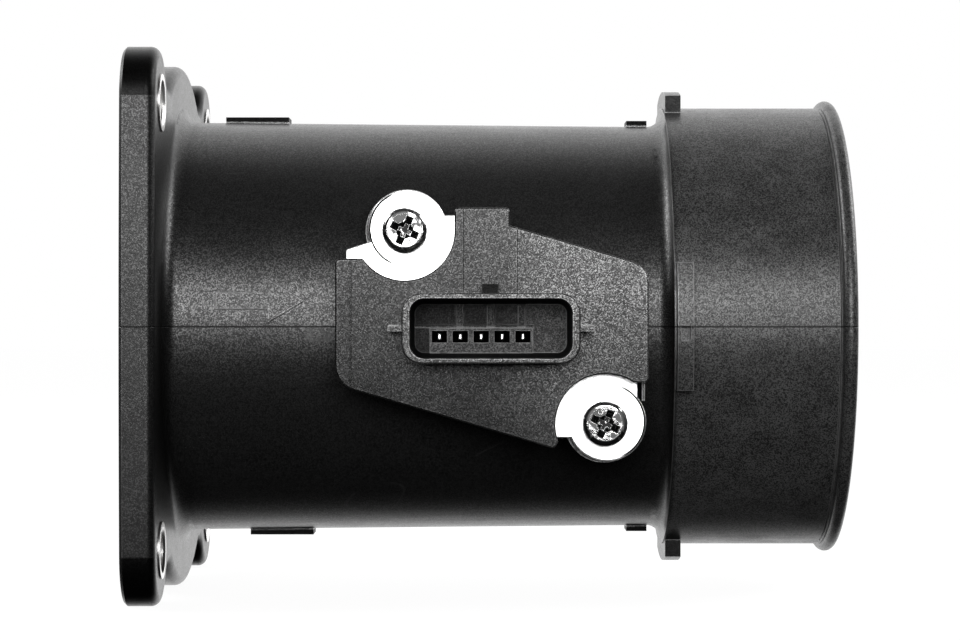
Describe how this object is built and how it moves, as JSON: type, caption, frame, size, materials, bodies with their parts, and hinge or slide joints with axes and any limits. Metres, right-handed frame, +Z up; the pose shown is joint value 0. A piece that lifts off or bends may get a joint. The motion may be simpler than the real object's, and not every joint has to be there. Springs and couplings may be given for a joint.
{
  "type": "mass airflow sensor",
  "caption": "Moulded air duct with a bolt flange and a hose spigot that carries a plug-in hot-wire module measuring the air drawn by an engine.",
  "frame": {"origin": "centre of the flange's bolt pattern, on the duct axis in the plane of the flange face", "axes": "+X along the duct from the flange face to the hose end, the connector points to -Y, +Z up"},
  "size_m": [0.1246, 0.1069, 0.0952],
  "materials": {
    "housing_plastic": "black glass-filled moulding",
    "cover_plastic": "matt dark grey moulding",
    "probe_plastic": "smooth black moulding",
    "bush_steel": "bright zinc plate",
    "plate_aluminium": "bright stamped",
    "screw_steel": "bright plated",
    "brass": "turned",
    "contact_tin": "tin plated",
    "screen_steel": "drawn stainless wire",
    "seal_rubber": "matt black",
    "board_ceramic": "fired alumina",
    "chip_resin": "moulded resin",
    "capacitor_ceramic": "fired",
    "gel": "clear soft gel",
    "element_glass": "glass-coated platinum"
  },
  "bodies": {
    "root": {"duct_housing": "housing_plastic", "flange_bushes": "bush_steel", "flange_seal": "seal_rubber", "screen_frame": "probe_plastic", "inlet_screen": "screen_steel", "spring_ring": "screen_steel", "base_plate": "plate_aluminium", "module_cover": "cover_plastic", "cover_screws": "screw_steel", "thread_inserts": "brass", "probe_seal": "seal_rubber", "probe_body": "probe_plastic", "probe_lid": "probe_plastic", "circuit_board": "board_ceramic", "control_chip": "chip_resin", "trim_resistors": "chip_resin", "capacitors": "capacitor_ceramic", "potting_gel": "gel", "element_posts": "contact_tin", "hot_wire": "element_glass", "compensation_wire": "element_glass", "air_temperature_sensor": "element_glass", "contact_pin_1": "contact_tin", "contact_pin_2": "contact_tin", "contact_pin_3": "contact_tin", "contact_pin_4": "contact_tin", "contact_pin_5": "contact_tin"}
  },
  "joints": []
}
